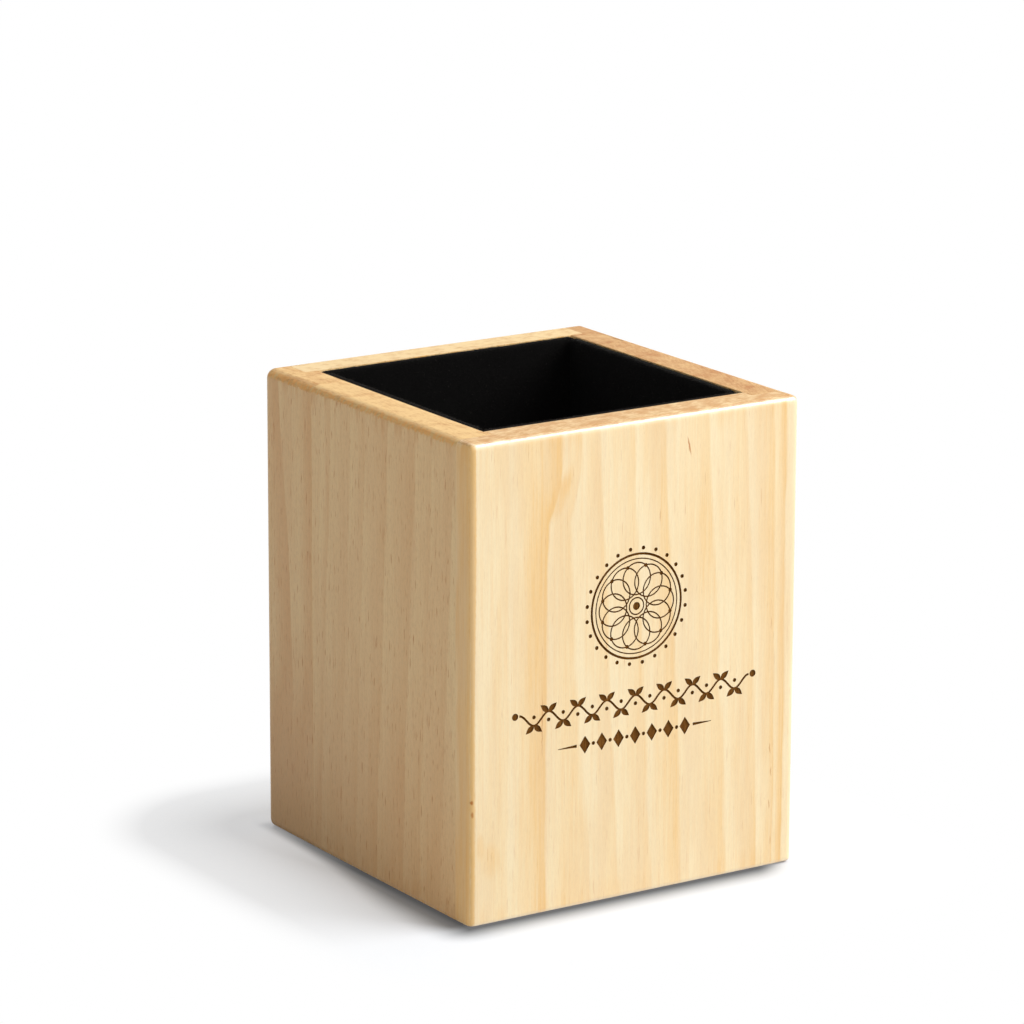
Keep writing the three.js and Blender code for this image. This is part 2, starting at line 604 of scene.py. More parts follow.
def felt_slab(name, node, seed):
    """A sheet of felt as thick as its CAD solid, with soft edges and an uneven surface."""
    lo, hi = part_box(node)
    size = hi - lo
    counts = [max(2, round(size[i] / FELT_CELL)) for i in range(3)]
    counts[min(range(3), key=lambda i: size[i])] = FELT_LAYERS
    shape = cell_box(lo, size, counts)
    shift = Vector((seed * 3.1, seed * 1.7, seed * 0.9))
    for v in shape.verts:
        wave = noise.noise_vector(v.co / FELT_WAVE + shift)
        ripple = noise.noise_vector(v.co / FELT_RIPPLE + shift)
        v.co += (wave * 0.7 + ripple * 0.5) * FELT_UNEVEN
        v.co.z = max(v.co.z, lo.z)
    obj = object_of(name, shape)
    soft = obj.modifiers.new("soft", "SUBSURF")
    soft.levels = 1
    soft.render_levels = 1
    apply_modifiers(obj)
    for polygon in obj.data.polygons:
        polygon.use_smooth = True
    return obj


def fibre(shape, root, direction, length, radius, rng):
    """One bent fibre: a three-sided tapering stem that ends in a point."""
    tip_bend, middle_bend, taper = 0.45, 0.35, 0.75
    bend = Vector((rng.uniform(-1, 1), rng.uniform(-1, 1), rng.uniform(-1, 1))) * length * tip_bend
    middle = root + direction * length * 0.5 + bend * middle_bend
    helper = direction.orthogonal().normalized()
    other = direction.cross(helper)
    rings = []
    for centre, share in ((root, 1.0), (middle, taper)):
        ring = []
        for i in range(3):
            a = 2 * math.pi * i / 3
            out = (helper * math.cos(a) + other * math.sin(a)) * radius * share
            ring.append(shape.verts.new(centre + out))
        rings.append(ring)
    tip = shape.verts.new(root + direction * length + bend)
    shape.faces.new(rings[0][::-1])
    for i in range(3):
        j = (i + 1) % 3
        shape.faces.new([rings[0][i], rings[0][j], rings[1][j], rings[1][i]])
        shape.faces.new([rings[1][i], rings[1][j], tip])


def nap(name, source, count, seed, towards, least, material):
    """Loose fibres standing on the faces of a felt sheet that look that way, at least so much."""
    rng = random.Random(seed)
    mesh = source.data
    faces = [p for p in mesh.polygons if p.normal.dot(towards) > least]
    totals, total = [], 0.0
    for p in faces:
        total += p.area
        totals.append(total)
    shape = bmesh.new()
    for _ in range(count):
        p = faces[bisect.bisect(totals, rng.uniform(0, total))]
        a, b, c, d = (mesh.vertices[i].co for i in p.vertices)
        u, v = rng.random(), rng.random()
        root = a.lerp(b, u).lerp(d.lerp(c, u), v)
        lean = Vector((rng.gauss(0, 1), rng.gauss(0, 1), rng.gauss(0, 1))) * 0.6
        direction = (p.normal + lean).normalized()
        if direction.dot(p.normal) < 0.1:
            direction = p.normal.copy()
        length = NAP_LENGTH * rng.uniform(0.35, 1.0)
        radius = NAP_RADIUS * rng.uniform(0.6, 1.1)
        fibre(shape, root - p.normal * NAP_ROOTED, direction, length, radius, rng)
    hair = object_of(name, shape)
    hair.data.materials.append(material)
    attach(hair, BODY)
    return hair


def wall_lining(side, axis, sign, seed, black, hair):
    """The felt on one inner face. It looks along x or y, which the axis says, in the sign's way."""
    node = side + "_lining"
    sheet = felt_slab(side + "_felt", node, seed)
    dress(sheet, node, black)
    inward = Vector((0, 0, 0))
    inward[axis] = sign
    fuzz = nap(side + "_felt_nap_rim", sheet, RIM_NAP, seed + 10, UP, 0.5, hair)
    pile = nap(side + "_felt_nap_face", sheet, FACE_NAP, seed + 20, inward, 0.6, hair)


def floor_lining(black, hair):
    sheet = felt_slab("floor_felt", "floor_lining", 7)
    dress(sheet, "floor_lining", black)
    pile = nap("floor_felt_nap", sheet, FACE_NAP, 31, UP, 0.6, hair)


def foot(material):
    sheet = felt_slab("foot_pad", "foot_felt", 9)
    dress(sheet, "foot_felt", material)


def lining(black, hair):
    inward = {"front": (1, 1), "back": (1, -1), "left": (0, 1), "right": (0, -1)}
    for seed, (side, (axis, sign)) in enumerate(inward.items(), 1):
        wall_lining(side, axis, sign, seed, black, hair)
    floor_lining(black, hair)


# Materials

class Graph:
    """A small helper that writes the nodes of a material or of the world."""

    def __init__(self, owner, output="OutputMaterial"):
        owner.use_nodes = True
        self.owner = owner
        self.tree = owner.node_tree
        self.tree.nodes.clear()
        self.output = self.node(output)

    def node(self, kind, inputs=None, **settings):
        made = self.tree.nodes.new("ShaderNode" + kind)
        for name, value in settings.items():
            setattr(made, name, value)
        for name, value in (inputs or {}).items():
            self.feed(made.inputs[name], value)
        return made

    def feed(self, socket, value):
        """Links a socket to an output or to a node's first one, or else sets its value."""
        if isinstance(value, bpy.types.Node):
            value = value.outputs[0]
        if isinstance(value, bpy.types.NodeSocket):
            self.tree.links.new(value, socket)
        else:
            socket.default_value = value

    def show(self, shader):
        self.feed(self.output.inputs["Surface"], shader)
        return self.owner

    def finished(self, colour, rough, height, strength, relief, shining):
        """The owner, with a shader whose surface is raised by relief where height is 1."""
        bump = self.node("Bump", {"Height": height, "Strength": strength, "Distance": relief})
        inputs = {"Base Color": colour, "Roughness": rough, "Normal": bump, **shining}
        return self.show(self.node("BsdfPrincipled", inputs))

    def math(self, operation, a, b=0.0, c=0.0, clamp=False):
        made = self.node("Math", {0: a, 1: b, 2: c}, operation=operation, use_clamp=clamp)
        return made.outputs[0]

    def times(self, a, b):
        return self.math("MULTIPLY", a, b)

    def minus(self, a, b):
        return self.math("SUBTRACT", a, b)

    def larger(self, a, b):
        return self.math("MAXIMUM", a, b)

    def limited(self, value, most):
        return self.larger(0.0, self.math("MINIMUM", value, most))

    def added(self, value, share, amount):
        """value, with so much of the amount added."""
        return self.math("MULTIPLY_ADD", share, amount, value)

    def between(self, share, first, second):
        """first where the share is 0, second where it is 1."""
        return self.math("MULTIPLY_ADD", share, self.minus(second, first), first)

    def step(self, value, start, end):
        """0 at start and 1 at end, smoothly between."""
        made = self.node(
            "MapRange",
            {"Value": value, "From Min": start, "From Max": end},
            interpolation_type="SMOOTHSTEP",
        )
        return made.outputs["Result"]

    def noise(self, vector, scale, detail=2.0, rough=0.5, distortion=0.0):
        made = self.node(
            "TexNoise",
            {"Vector": vector, "Scale": scale, "Detail": detail, "Roughness": rough,
             "Distortion": distortion},
        )
        return made.outputs["Fac"]

    def vary(self, value, noise, amount):
        """value, moved up and down by a noise around its middle."""
        return self.math("MULTIPLY_ADD", self.minus(noise, 0.5), amount, value)

    def vector(self, operation, a, b=(0, 0, 0), c=(0, 0, 0), result="Vector"):
        made = self.node("VectorMath", {0: a, 1: b, 2: c}, operation=operation)
        return made.outputs[result]

    def dot(self, vector, axis):
        return self.vector("DOT_PRODUCT", vector, axis, result="Value")

    def length(self, vector):
        return self.vector("LENGTH", vector, result="Value")

    def joined(self, x, y, z):
        return self.node("CombineXYZ", {"X": x, "Y": y, "Z": z})

    def place(self):
        return self.node("TexCoord").outputs["Object"]

    def millimetres(self):
        return self.vector("MULTIPLY", self.place(), (1 / MM, 1 / MM, 1 / MM))

    def mix(self, share, a, b, blend="MIX"):
        made = self.node("Mix", data_type="RGBA", blend_type=blend)
        for socket, value in zip((made.inputs[0], made.inputs[6], made.inputs[7]), (share, a, b)):
            self.feed(socket, value)
        return made.outputs[2]

    def tinted(self, colour, tint):
        return self.mix(1.0, colour, (*tint, 1), "MULTIPLY")

    def ramp(self, value, stops):
        made = self.node("ValToRGB", {"Fac": value})
        elements = made.color_ramp.elements
        while len(elements) < len(stops):
            elements.new(0.5)
        for element, (position, colour) in zip(elements, stops):
            element.position = position
            element.color = (*colour, 1)
        return made.outputs["Color"]


LIGHT_WOOD = (0.925, 0.765, 0.487)
DARK_WOOD = (0.86, 0.54, 0.20)
SIDE_DARK_WOOD = (0.78, 0.52, 0.27)
ROSY_WOOD = (0.82, 0.59, 0.34)
GRIT = (0.45, 0.30, 0.16)
END_LIGHT = (0.80, 0.59, 0.30)
END_DARK = (0.54, 0.27, 0.075)
SHOULDER_WOOD = (0.90, 0.47, 0.13)
FLECK = (0.52, 0.17, 0.02)
# Side boards' own warmer tone, partly painted shade that darkens and warms them like the shaded left
# face
SIDE_TONE_AND_SHADE = (0.985, 0.86, 0.68)
# Painted shade: the front board's sideways faces take the side boards' darker, warmer tone
FLANK_SHADE_TINT = (1.02, 0.925, 0.79)
SIDE_END_TINT = (0.95, 0.84, 0.66)
RIGHT_END_TINT = (0.82, 0.68, 0.54)
SCORCHED = ((0.3, (0.075, 0.024, 0.001)), (0.55, (0.15, 0.056, 0.006)), (0.8, (0.27, 0.115, 0.022)))

# Lacquer, and how it and the wood below it shine
GLOSS = 0.5
LACQUER = 0.6
SIDE_GLOSS = 0.25
SIDE_LACQUER = 0.3
RIM_LACQUER = 0.2
LACQUER_ROUGHNESS = 0.36
LACQUER_IOR = 1.5
POLISHED_IOR = 2.0

# Growth rings: how far they reach from the box's middle, how wide their dark end is, and how far
# they wander and ripple to the side, in millimetres
RING_REACH = 46.0
RING_TURN = 0.55
RINGS_WANDER = 2.2
RINGS_RIPPLE = 1.7

# Tones run from 0 for light wood to 1 for dark wood, and a little past it
DARKEST = 1.6
DARKEST_END = 1.3

# Depths in millimetres: below the rim where painted shade starts to darken a board towards its bottom,
# from its ends where the oil comes in, and behind the front face where the listed marks come in
PAINTED_SHADE_FROM = 45.0
OIL_DEPTH = (6.0, 1.0)
MARKS_DEPTH = (4.0, 1.5)
MARKS_WOBBLE = 0.5


class WoodGrain:
    """Straight-grained wood in three dimensions, so face grain and end grain belong together.

    across is the level direction in which the growth rings follow each other. rings are the
    places along it, in millimetres from the box's middle, where a ring ends: each with how dark
    it ends, and where given, how dark the next one starts. drift is how far the rings move along
    it for each millimetre down, as far as the depth turn, where they start to move back. hold is
    where across the board the drift comes in, is full, starts to wane and has gone.
    """

    hold = None
    turn = 200.0
    bends = ()

    light = 0.15
    # Painted shade: how much darker a board is painted towards its bottom
    painted_low_shade = 0.0
    oil = 0.7
    rosy = 0.35
    dark = DARK_WOOD
    tint = (1, 1, 1)
    # Painted shade tint for the faces that look sideways, where given
    flank_shade_tint = None
    flecks = 0.3
    fleck_start = 0.66
    fleck_scale = (4.4, 4.4, 0.17)
    grit = 0.08
    grit_scale = (3.5, 3.5, 0.8)
    # Listed darker places, some of them painted shade
    stains_and_shade = ()
    nicks = ()

    # How much a face looks upward where end grain comes in
    end_from = (0.16, 0.34)
    end_tone = 0.1
    end_tint = (1, 1, 1)
    shoulder = 0.0
    knots = ()

    gloss = GLOSS
    lacquer = LACQUER
    polished = 0.0

    def __init__(self, name, across, rings, drift, seed, **settings):
        self.name, self.across, self.rings, self.drift, self.seed = name, across, rings, drift, seed
        for key, value in settings.items():
            setattr(self, key, value)


class WoodGraph(Graph):
    """The nodes of one piece of wood, with what all of its patterns share.

    mm is the place in millimetres and depth is how far it is below the rim.
    """

    def __init__(self, grain):
        super().__init__(bpy.data.materials.new(grain.name))
        self.grain = grain
        self.shift = (grain.seed * 17.3, grain.seed * 31.7, grain.seed * 5.9)
        self.mm = self.millimetres()
        self.depth = self.minus(TOP / MM, self.dot(self.mm, (0, 0, 1)))

    def pattern(self, factors, detail, rough, shift=None):
        """A noise that changes so often per millimetre along x, y and z."""
        place = self.vector("MULTIPLY_ADD", self.mm, factors, shift or self.shift)
        return self.noise(place, 1.0, detail, rough)

    def patches(self, factors, detail, rough, start, end, shift=None):
        """0 where such a noise is below start, 1 where it is above end."""
        return self.step(self.pattern(factors, detail, rough, shift), start, end)


def regular_rings(spacing, start, seed):
    """Rings at a fairly even spacing, as dark as chance has it."""
    most, dark = 14, 0.6
    rng = random.Random(seed)
    found, place = [], start - RING_REACH
    while place < RING_REACH and len(found) < most:
        found.append((place, dark * rng.uniform(0.55, 1.1)))
        place += spacing * rng.uniform(0.75, 1.25)
    return found


def ring_stops(grain):
    """A saw of tones for a colour ramp: each ring darkens slowly, and the next starts light."""
    next_light = grain.light * 0.6
    width = RING_TURN / (2 * RING_REACH)
    stops = [(0.0, grain.light)]
    for place, dark, *after in grain.rings:
        at = (place + RING_REACH) / (2 * RING_REACH)
        if stops[-1][0] < at - width < at < 1:
            stops.append((at - width, dark))
            stops.append((at, after[0] if after else next_light))
    return [(at, (tone, tone, tone)) for at, tone in stops]


def drift_share(g, place):
    """How much of the drift a place across the board has."""
    if not g.grain.hold:
        return 1.0
    first, full, waning, last = g.grain.hold
    return g.times(g.step(place, first, full), g.step(place, last, waning))


def ring_tone(g):
    """The tone that a point has from the growth ring that it lies in."""
    grain = g.grain
    place = g.dot(g.mm, grain.across)
    sunk = g.minus(grain.turn, g.math("ABSOLUTE", g.minus(g.depth, grain.turn)))
    drift = g.times(g.times(sunk, grain.drift), drift_share(g, place))
    wander = g.pattern((0.03, 0.03, 0.016), 2.0, 0.5)
    ripple = g.pattern((0.25, 0.25, 0.045), 3.0, 0.55)
    across = g.vary(g.vary(g.minus(place, drift), wander, RINGS_WANDER), ripple, RINGS_RIPPLE)
    if grain.bends:
        across = g.minus(across, spots(g, grain.bends))
    within = g.added(0.5, across, 0.5 / RING_REACH)
    return g.ramp(within, ring_stops(grain))


def spot(g, face, at, half, lean):
    """1 in the middle of a leaning ellipse on a face, 0 outside it."""
    moved = g.vector("SUBTRACT", face, (*at, 0))
    across = g.dot(moved, (1 / half[0], -lean / half[0], 0))
    down = g.dot(moved, (0, 1 / half[1], 0))
    reach = g.added(g.times(down, down), across, across)
    return g.step(reach, 1.5, 0.0)


def spots(g, marks):
    """The sum of listed spots on the front face, each (at, half size, lean, strength)."""
    wobble = g.node("TexNoise", {"Vector": g.mm, "Scale": 0.7, "Detail": 3.0}).outputs["Color"]
    left = g.math("ADD", g.dot(g.mm, (1, 0, 0)), OUTER.x / MM)
    face = g.joined(left, g.depth, 0.0)
    face = g.vector("MULTIPLY_ADD", wobble, (MARKS_WOBBLE, MARKS_WOBBLE, 0), face)
    face = g.vector("SUBTRACT", face, (MARKS_WOBBLE / 2, MARKS_WOBBLE / 2, 0))
    total = 0.0
    for at, half, lean, strength in marks:
        total = g.added(total, spot(g, face, at, half, lean), strength)
    deep, shallow = [depth - OUTER.y / MM for depth in MARKS_DEPTH]
    return g.times(total, g.step(g.dot(g.mm, (0, 1, 0)), deep, shallow))


def face_tone(g, fibres, threads):
    """The long grain's tone: rings, fibres, threads, slow clouds, painted shade low down, and ends
    that took more oil.
    """
    grain = g.grain
    clouds = g.pattern((0.11, 0.11, 0.03), 3.0, 0.55)
    tone = ring_tone(g)
    for pattern, strength in ((fibres, 0.8), (threads, 0.6), (clouds, 0.6)):
        tone = g.vary(tone, pattern, strength)
    # Painted shade: the board grows darker from below the rim down to its bottom
    tone = g.added(tone, g.step(g.depth, PAINTED_SHADE_FROM, HEIGHT_MM), grain.painted_low_shade)
    from_end = g.math("MINIMUM", g.depth, g.minus(HEIGHT_MM, g.depth))
    soaked = g.patches((0.45, 0.45, 0.06), 2.0, 0.6, 0.48, 0.66)
    tone = g.added(tone, g.times(g.step(from_end, *OIL_DEPTH), soaked), grain.oil)
    # Listed marks, among them painted shade down the front board's rounded left edge
    if grain.stains_and_shade:
        tone = g.math("ADD", tone, spots(g, grain.stains_and_shade))
    return g.limited(tone, DARKEST)


def face_colour(g):
    """The long grain's colour, and what its roughness and relief are made of."""
    grain = g.grain
    fibres = g.pattern((1.3, 1.3, 0.035), 5.0, 0.62)
    threads = g.pattern((5.0, 5.0, 0.12), 3.0, 0.6)
    pores = g.pattern((7.0, 7.0, 0.9), 1.0, 0.5)
    colour = g.mix(face_tone(g, fibres, threads), (*LIGHT_WOOD, 1), (*grain.dark, 1))
    blush = g.patches((0.16, 0.16, 0.02), 3.0, 0.6, 0.42, 0.66, g.shift[::-1])
    flecks = g.patches(grain.fleck_scale, 2.0, 0.5, grain.fleck_start, grain.fleck_start + 0.1)
    layers = (
        (blush, grain.rosy, ROSY_WOOD),
        (flecks, grain.flecks, FLECK),
        (g.step(pores, 0.7, 0.85), grain.flecks / 2, FLECK),
        (g.patches(grain.grit_scale, 3.0, 0.7, 0.4, 0.7), grain.grit, GRIT),
    )
    for share, strength, paint in layers:
        colour = g.mix(g.times(share, strength), colour, (*paint, 1))
    if grain.nicks:
        colour = g.mix(spots(g, grain.nicks), colour, (*FLECK, 1))
    relief = g.added(g.times(fibres, 0.7), threads, 0.6)
    return colour, threads, g.added(relief, g.step(pores, 0.62, 0.8), -0.25)


def streaks(g, narrow, long, detail):
    """A noise that is streaked along the board's rim: narrow over it and long along it."""
    x, y, _ = g.grain.across
    over = g.times(g.dot(g.mm, (-y, x, 0)), narrow)
    along = g.times(g.dot(g.mm, (-x, -y, 0)), long)
    return g.noise(g.joined(over, along, g.grain.seed), 1.0, detail, 0.6, 0.4)


def knot(g, at, half):
    """1 in the middle of a round place on the rim, 0 outside it."""
    reach = g.length(g.vector("SUBTRACT", g.mm, (*at, TOP / MM)))
    return g.step(reach, half, 0.0)


def end_colour(g, upward):
    """End grain: deeper in colour, streaked, blotched, and deepest on the shoulder of its edge."""
    grain = g.grain
    broad, fine = streaks(g, 0.9, 0.12, 3.0), streaks(g, 4.0, 0.6, 2.0)
    blotch = g.pattern((0.3, 0.3, 0.3), 4.0, 0.6)
    tone = grain.end_tone
    for pattern, strength in ((broad, 1.2), (fine, 2.0), (blotch, 2.2)):
        tone = g.vary(tone, pattern, strength)
    for at, half, strength in grain.knots:
        tone = g.added(tone, knot(g, at, half), strength)
    colour = g.mix(g.limited(tone, DARKEST_END), (*END_LIGHT, 1), (*END_DARK, 1))
    bits = g.patches((1.1, 1.1, 0.7), 3.0, 0.6, 0.35, 0.62)
    shoulder = g.times(g.times(g.step(upward, 0.97, 0.7), bits), grain.shoulder)
    return g.mix(shoulder, colour, (*SHOULDER_WOOD, 1))


def shine(g, upward, sideways):
    """The wood's gloss, the lacquer's share and its index of refraction.

    Flanks with the painted shade tint are duller, rounded edges can be polished, and rims drink up
    lacquer.
    """
    grain = g.grain
    gloss, lacquer, polished, index = grain.gloss, grain.lacquer, grain.polished, LACQUER_IOR
    if grain.flank_shade_tint:
        dull = g.step(sideways, 0.15, 0.6)
        gloss = g.between(dull, gloss, SIDE_GLOSS)
        lacquer = g.between(dull, lacquer, SIDE_LACQUER)
        polished = g.times(g.minus(1.0, dull), polished)
    rim = g.step(upward, 0.93, 0.995)
    if grain.polished:
        edge = g.times(g.times(g.step(upward, 0.02, 0.2), g.minus(1.0, rim)), polished)
        lacquer = g.larger(edge, lacquer)
        index = g.between(edge, LACQUER_IOR, POLISHED_IOR)
    return gloss, g.between(rim, lacquer, RIM_LACQUER), index


def wood(grain):
    """The material of one piece of wood, under a thin lacquer."""
    g = WoodGraph(grain)
    normal = g.node("NewGeometry").outputs["Normal"]
    upward = g.math("ABSOLUTE", g.dot(normal, (0, 0, 1)))
    sideways = g.math("ABSOLUTE", g.dot(normal, (1, 0, 0)))
    long_grain, threads, relief = face_colour(g)
    ragged = g.pattern((0.8, 0.8, 0.4), 3.0, 0.6)
    end = g.step(g.vary(upward, ragged, 0.8), *grain.end_from)
    end_grain = g.tinted(end_colour(g, upward), grain.end_tint)
    colour = g.mix(end, g.tinted(long_grain, grain.tint), end_grain)
    # Painted shade: the faces that look sideways take the flank tint
    if grain.flank_shade_tint:
        flank = g.step(sideways, 0.6, 0.95)
        colour = g.mix(flank, colour, g.tinted(colour, grain.flank_shade_tint))
    gloss, lacquer, index = shine(g, upward, sideways)
    rough = g.added(g.added(0.32, end, 0.15), threads, 0.2)
    shining = {
        "IOR": 1.45, "Specular IOR Level": gloss, "Coat Weight": lacquer,
        "Coat Roughness": LACQUER_ROUGHNESS, "Coat IOR": index,
    }
    return g.finished(colour, rough, relief, 0.35, 0.06 * MM, shining)


def burnt_wood():
    """Wood scorched by the engraving: brown, paler in the soft grain, dull."""
    g = Graph(bpy.data.materials.new("burnt_wood"))
    mm = g.millimetres()
    grain = g.noise(g.vector("MULTIPLY", mm, (2.5, 2.5, 0.2)), 1.0, 4.0, 0.6)
    lines = g.noise(g.vector("MULTIPLY", mm, (0.6, 0.6, 9.0)), 1.0, 2.0, 0.5)
    tone = g.math("MULTIPLY_ADD", lines, 0.3, g.times(grain, 0.8), clamp=True)
    shining = {"IOR": 1.4, "Specular IOR Level": 0.2}
    return g.finished(g.ramp(tone, SCORCHED), 0.8, lines, 0.5, 0.05 * MM, shining)


def felt(name, dark, light, sheen):
    """Pressed wool fibres: tufts and finer strands between two colours, dull and bumpy."""
    g = Graph(bpy.data.materials.new(name))
    mm = g.millimetres()
    tufts = g.noise(mm, 1.3, 4.0, 0.7)
    strands = g.noise(mm, 6.0, 3.0, 0.6, 1.5)
    tone = g.math("MULTIPLY_ADD", strands, 0.6, g.times(tufts, 0.5), clamp=True)
    shining = {"Specular IOR Level": 0.08, "Sheen Weight": sheen, "Sheen Roughness": 0.45}
    colour = g.ramp(tone, ((0.35, dark), (0.75, light)))
    return g.finished(colour, 0.95, tone, 0.9, 0.3 * MM, shining)


# The stage

def camera():
    yaw, pitch, roll = CAMERA_YAW, CAMERA_PITCH, CAMERA_ROLL
    back = Vector((math.sin(yaw) * math.cos(pitch), -math.cos(yaw) * math.cos(pitch), math.sin(pitch)))
    right = Vector((math.cos(yaw), math.sin(yaw), 0))
    up = back.cross(right)
    target = Vector((0, 0, (BOTTOM + TOP) / 2))
    place = target + back * CAMERA_DISTANCE + right * CAMERA_RIGHT + up * CAMERA_UP
    turned_right = right * math.cos(roll) + up * math.sin(roll)
    turned_up = up * math.cos(roll) - right * math.sin(roll)
    data = bpy.data.cameras.new("camera")
    data.lens = CAMERA_LENS_MM
    data.sensor_width = 36
    data.clip_end = 50
    obj = new_object("camera", data)
    axes = Matrix((turned_right, turned_up, back)).transposed()
    obj.matrix_world = Matrix.Translation(place) @ axes.to_4x4()
    bpy.context.scene.camera = obj


def lamps():
    for name, (towards, distance, sides, watts) in LAMPS.items():
        data = bpy.data.lights.new(name, "AREA")
        data.shape = "RECTANGLE"
        data.size, data.size_y = sides
        data.energy = watts
        obj = new_object(name, data)
        direction = Vector(towards).normalized()
        obj.location = LAMPS_AIM + direction * distance
        obj.rotation_euler = direction.to_track_quat("Z", "Y").to_euler()


def seen_rays(g, path):
    """1 for what the camera sees, also in a mirror or through glass, and 0 for light."""
    mirrored = g.larger(path["Is Glossy Ray"], path["Is Transmission Ray"])
    return g.larger(path["Is Camera Ray"], mirrored)


def world():
    """White where it is seen, and a dimmer fill light."""
    made = bpy.data.worlds.new("studio")
    g = Graph(made, "OutputWorld")
    seen = seen_rays(g, g.node("LightPath").outputs)
    fill = g.node("Background", {"Color": WHITE, "Strength": WORLD_FILL})
    backdrop = g.node("Background", {"Color": WHITE, "Strength": 1.0})
    g.show(g.node("MixShader", {0: seen, 1: fill, 2: backdrop}))
    bpy.context.scene.world = made


def white_share(g, distance, y, ending):
    """How much of the floor's colour is plain white, given how far it is from the cup."""
    away = g.math("DIVIDE", distance, g.math("ADD", distance, SHADOW_FADE))
    share = g.larger(away, g.step(distance, *SHADOW_END))
    edge = g.between(g.step(y, *FRONT_STRIP), *EDGE_SHARE)
    edge = g.times(edge, g.minus(1.0, ending))
    beside = g.minus(1.0, g.math("DIVIDE", distance, EDGE_REACH))
    share = g.larger(share, g.times(edge, beside))
    lift = g.between(g.step(distance, 0.0, LIFT_REACH), *LIFT_SHARE)
    return g.larger(share, g.times(g.step(y, *LIFT_PLACE), lift))


def painted_contact_shade(g, beyond, y, ending):
    """Painted contact shadow: how light the floor is left close to the cup, darkest where they meet.
    """
    narrower = g.between(g.step(y, *NARROWER_PLACE), *CONTACT_SHADE_NARROWER)
    reach = g.length(g.vector("MULTIPLY", beyond, g.joined(narrower, 1.0, 1.0)))
    contact = g.step(reach, *CONTACT_SHADE_REACH)
    return g.math("MULTIPLY_ADD", g.minus(1.0, contact), ending, contact)


def bounce(g, place, y):
    """What the floor throws back at the cup, darkened by painted shade beside the rear of the left
    face.
    """
    aside = g.dot(place, (-1, 0, 0))
    shaded = g.minus(1.0, g.step(aside, OUTER.x, OUTER.x + SHADED_REACH))
    shaded = g.times(shaded, g.math("GREATER_THAN", aside, OUTER.x - MM))
    shaded = g.times(g.times(shaded, g.step(y, *SHADED_PLACE)), SHADED)
    return g.mix(shaded, (BOUNCE, BOUNCE, BOUNCE, 1), (0, 0, 0, 1))


def floor():
    """A white sheet that keeps the cup's shadow and a painted contact shadow. Nothing on it depends on
    where it is seen from.
    """
    half = FLOOR_HALF
    mesh = bpy.data.meshes.new("floor")
    corners = [(-half, -half, 0), (half, -half, 0), (half, half, 0), (-half, half, 0)]
    mesh.from_pydata(corners, [], [(0, 1, 2, 3)])
    obj = new_object("floor", mesh)
    g = Graph(bpy.data.materials.new("floor"))
    path = g.node("LightPath").outputs
    place = g.place()
    beyond = g.vector("SUBTRACT", g.vector("ABSOLUTE", place), (*OUTER, 0))
    beyond = g.vector("MAXIMUM", beyond, (0, 0, 0))
    y = g.dot(place, (0, 1, 0))
    rightward = g.dot(place, (math.cos(CAMERA_YAW), math.sin(CAMERA_YAW), 0))
    ending = g.larger(g.step(rightward, *ENDING_RIGHT), g.step(y, *ENDING_REAR))
    white = white_share(g, g.length(beyond), y, ending)
    # Painted shadow: the floor darkens near the cup for the camera's rays alone
    contact = painted_contact_shade(g, beyond, y, ending)
    contact = g.larger(contact, g.minus(1.0, path["Is Camera Ray"]))
    paper = g.mix(path["Is Diffuse Ray"], (*PAPER, 1), bounce(g, place, y))
    shade = g.joined(contact, contact, contact)
    paper = g.node("BsdfDiffuse", {"Color": g.mix(1.0, paper, shade, "MULTIPLY")})
    glow = g.node("Emission", {"Color": WHITE, "Strength": contact})
    white = g.times(white, seen_rays(g, path))
    mesh.materials.append(g.show(g.node("MixShader", {0: white, 1: paper, 2: glow})))


# Where the front board's growth rings end, from its left edge at the height where the drift starts
FRONT_RINGS = (
    (1.0, 0.8), (9.6, 0.3), (18.7, 0.9), (24.2, 0.45), (31.0, 0.5), (39.0, 0.4), (46.6, 0.6),
    (57.6, 0.5), (67.0, 0.5), (73.6, 0.6), (76.9, 0.9),
)
# Where the left staves' rings end, from the box's back face
FRONT_STAVE_RINGS = (
    (24.2, 0.35), (27.6, 0.6), (35.6, 0.45), (41.0, 0.6), (49.6, 0.65), (60.0, 0.7), (66.5, 0.5),
    (74.4, 0.6),
)
REAR_STAVE_RINGS = ((-8.0, 1.2, 1.1), (6.3, 1.25, 0.3), (13.4, 0.35, 0.3), (19.8, 1.0))
GRAIN_TILT = 0.1

# What is on the front board alone: its place from the left and from the top, half its width and
# height, how it leans and how strong it is, all in millimetres
FRONT_STAINS_AND_SHADE = (
    ((21.4, 13.6), (2.0, 4.6), -0.35, 0.45), ((22.8, 10.5), (1.4, 3.4), -0.3, 0.25),
    ((5.0, 86.7), (2.2, 3.8), 0.0, 0.28), ((2.6, 83.5), (1.0, 3.0), 0.0, 0.35),
    # The two long strips down the left edge are partly a darker grain line, partly painted shade on
    # the rounded front-left edge
    ((0.9, 20.0), (0.6, 34.0), 0.0, 1.5), ((0.9, 75.0), (0.5, 42.0), 0.0, 0.8),
)
FRONT_NICKS = (
    ((52.6, 7.1), (0.22, 2.0), 0.225, 0.85),
    ((45.6, 20.6), (0.16, 1.4), 0.0, 0.4), ((17.3, 60.0), (0.14, 6.5), 0.0, 0.5),
    ((73.8, 47.5), (0.14, 1.4), 0.0, 0.35), ((73.9, 74.5), (0.16, 1.1), 0.1, 0.5),
    ((74.3, 79.5), (0.15, 1.0), 0.0, 0.45), ((73.9, 86.5), (0.16, 1.1), 0.1, 0.5),
    ((74.4, 94.5), (0.15, 1.0), 0.0, 0.35), ((0.7, 73.8), (0.35, 0.5), 0.0, 0.95),
    ((0.75, 76.4), (0.3, 0.7), 0.0, 0.8),
)
